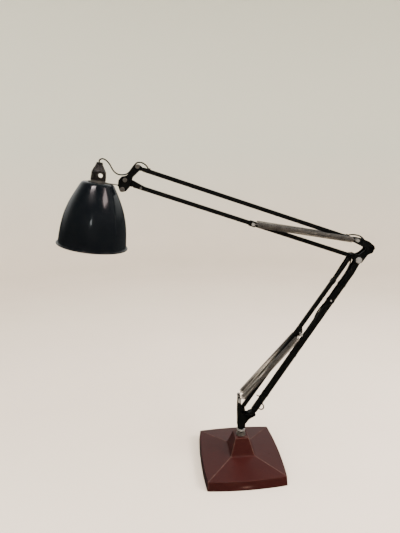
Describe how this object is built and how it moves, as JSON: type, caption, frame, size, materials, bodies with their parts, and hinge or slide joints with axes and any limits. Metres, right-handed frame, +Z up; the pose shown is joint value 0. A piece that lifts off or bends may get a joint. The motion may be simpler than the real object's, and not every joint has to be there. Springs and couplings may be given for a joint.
{
  "type": "architect desk lamp",
  "caption": "Sprung parallel-link desk lamp: square weighted base, swivelling bracket, levelled elbow and head, tilting spun shade with a bayonet lampholder.",
  "frame": {"origin": "centre of the base's underside, on the stem's axis", "axes": "+Z up along the stem; the arms lie in the XZ plane, elbow towards +X and shade towards -X"},
  "size_m": [0.7134, 0.2122, 0.7588],
  "materials": {
    "base_enamel": "semi-gloss oxblood stove enamel, rubbed lighter along its ridges",
    "iron": "rough cast",
    "felt": "worn dark felt",
    "steel": "dull, lightly tarnished steel",
    "bright_steel": "bright plated steel",
    "spring_steel": "tarnished grey-brown spring wire",
    "black_enamel": "worn semi-gloss black enamel",
    "shade_enamel": "gloss black enamel outside, white inside",
    "bakelite": "black-brown moulded phenolic",
    "switch_white": "ivory white",
    "contact_brass": "spring brass",
    "flex_black": "black flex"
  },
  "bodies": {
    "base": {"base_cover": "base_enamel", "base_weight": "iron", "base_pad": "felt", "stem_socket": "steel", "socket_nut": "steel", "cable_gland": "flex_black"},
    "stem": {"stem": "black_enamel", "stem_washer": "bright_steel", "bracket_hub": "black_enamel", "bracket_front": "black_enamel", "bracket_back": "black_enamel", "bracket_bolts": "steel", "lower_spring_studs": "bright_steel", "flex_bracket": "flex_black"},
    "lower_arm": {"lower_arm_tube": "black_enamel", "lower_arm_ends": "black_enamel", "flex_straps": "black_enamel", "flex_lower": "flex_black", "flex_elbow_side": "flex_black"},
    "lower_control": {"lower_control_tube": "black_enamel", "lower_control_ends": "black_enamel", "lower_spring_anchor": "black_enamel", "lower_spring_pin": "bright_steel"},
    "elbow": {"elbow_front": "black_enamel", "elbow_back": "black_enamel", "elbow_main_bolt": "bright_steel", "elbow_upper_bolt": "steel", "elbow_screws": "steel", "upper_spring_studs": "bright_steel"},
    "upper_arm": {"upper_arm_tube": "black_enamel", "upper_arm_ends": "black_enamel", "flex_grommets": "flex_black", "flex_upper": "flex_black", "flex_neck": "flex_black", "flex_elbow_top": "flex_black"},
    "upper_control": {"upper_control_tube": "black_enamel", "upper_control_ends": "black_enamel", "control_rivet": "steel", "upper_spring_anchor": "black_enamel", "upper_spring_pin": "bright_steel"},
    "head": {"head_front": "black_enamel", "head_back": "black_enamel", "head_bolts": "steel", "tilt_bolt": "steel", "head_spacers": "steel"},
    "shade": {"shade_bracket": "steel", "shade": "shade_enamel", "shade_ring": "bakelite", "lampholder_body": "bakelite", "lampholder_cap": "bakelite", "cord_grip": "bakelite", "contact_block": "contact_brass", "flex_head": "flex_black"},
    "switch": {"switch_bar": "switch_white"},
    "lower_springs": {"lower_spring_front": "spring_steel", "lower_spring_back": "spring_steel"},
    "lower_spring_ends": {"lower_spring_hooks": "spring_steel"},
    "upper_springs": {"upper_spring_front": "spring_steel", "upper_spring_back": "spring_steel"},
    "upper_spring_ends": {"upper_spring_hooks": "spring_steel"}
  },
  "joints": [
    {"name": "stem_swivel", "type": "hinge", "parent": "base", "child": "stem", "pos_m": [0, 0, 0.09], "axis": [0, 0, 1], "continuous": true},
    {"name": "lower_arm_lean", "type": "hinge", "parent": "stem", "child": "lower_arm", "pos_m": [0.0205, 0, 0.136], "axis": [0, 1, 0], "range_deg": [-35, 25], "deforming": ["flex_bracket"]},
    {"name": "elbow_level", "type": "hinge", "parent": "lower_arm", "child": "elbow", "pos_m": [0.2545, 0, 0.5353], "axis": [0, 1, 0], "range_deg": [-26, 36], "deforming": ["flex_elbow_side"]},
    {"name": "lower_control_turn", "type": "hinge", "parent": "stem", "child": "lower_control", "pos_m": [0.004, 0, 0.147], "axis": [0, 1, 0], "range_deg": [-36, 26]},
    {"name": "upper_arm_lift", "type": "hinge", "parent": "elbow", "child": "upper_arm", "pos_m": [0.2825, 0, 0.5633], "axis": [0, 1, 0], "range_deg": [-25, 28], "deforming": ["flex_elbow_top"]},
    {"name": "upper_control_turn", "type": "hinge", "parent": "elbow", "child": "upper_control", "pos_m": [0.2545, 0, 0.5353], "axis": [0, 1, 0], "range_deg": [-26, 29]},
    {"name": "head_level", "type": "hinge", "parent": "upper_arm", "child": "head", "pos_m": [-0.2378, 0, 0.7408], "axis": [0, 1, 0], "range_deg": [-29, 26], "deforming": ["flex_neck"]},
    {"name": "shade_tilt", "type": "hinge", "parent": "head", "child": "shade", "pos_m": [-0.2723, 0, 0.6928], "axis": [0, 1, 0], "range_deg": [-38, 20], "deforming": ["flex_head"]},
    {"name": "switch_push", "type": "slide", "parent": "shade", "child": "switch", "axis": [-0.4179, 0.9063, 0.0632], "range_m": [0, 0.004]},
    {"name": "lower_spring_turn", "type": "hinge", "parent": "stem", "child": "lower_springs", "pos_m": [-0.0068, 0, 0.1815], "axis": [0, 1, 0], "range_deg": [-39.3, 28.2]},
    {"name": "lower_spring_stretch", "type": "slide", "parent": "lower_springs", "child": "lower_spring_ends", "axis": [0.6235, 0, 0.7819], "range_m": [-0.0169, 0.0123], "deforming": ["lower_spring_front", "lower_spring_back", "lower_spring_hooks"]},
    {"name": "upper_spring_turn", "type": "hinge", "parent": "elbow", "child": "upper_springs", "pos_m": [0.2454, 0, 0.582], "axis": [0, 1, 0], "range_deg": [-27.5, 30.7]},
    {"name": "upper_spring_stretch", "type": "slide", "parent": "upper_springs", "child": "upper_spring_ends", "axis": [-0.9884, 0, 0.1516], "range_m": [-0.0219, 0.0197], "deforming": ["upper_spring_front", "upper_spring_back", "upper_spring_hooks"]}
  ],
  "couplings": [
    {"joint": "elbow_level", "follows": "lower_arm_lean", "ratio": -1},
    {"joint": "lower_control_turn", "follows": "lower_arm_lean", "ratio": 1},
    {"joint": "head_level", "follows": "upper_arm_lift", "ratio": -1},
    {"joint": "upper_control_turn", "follows": "upper_arm_lift", "ratio": 1},
    {"joint": "lower_spring_turn", "follows": "lower_arm_lean", "ratio": 1.1066},
    {"joint": "lower_spring_stretch", "follows": "lower_arm_lean", "m_per_rad": 0.02597},
    {"joint": "upper_spring_turn", "follows": "upper_arm_lift", "ratio": 1.0773},
    {"joint": "upper_spring_stretch", "follows": "upper_arm_lift", "m_per_rad": -0.04287}
  ]
}
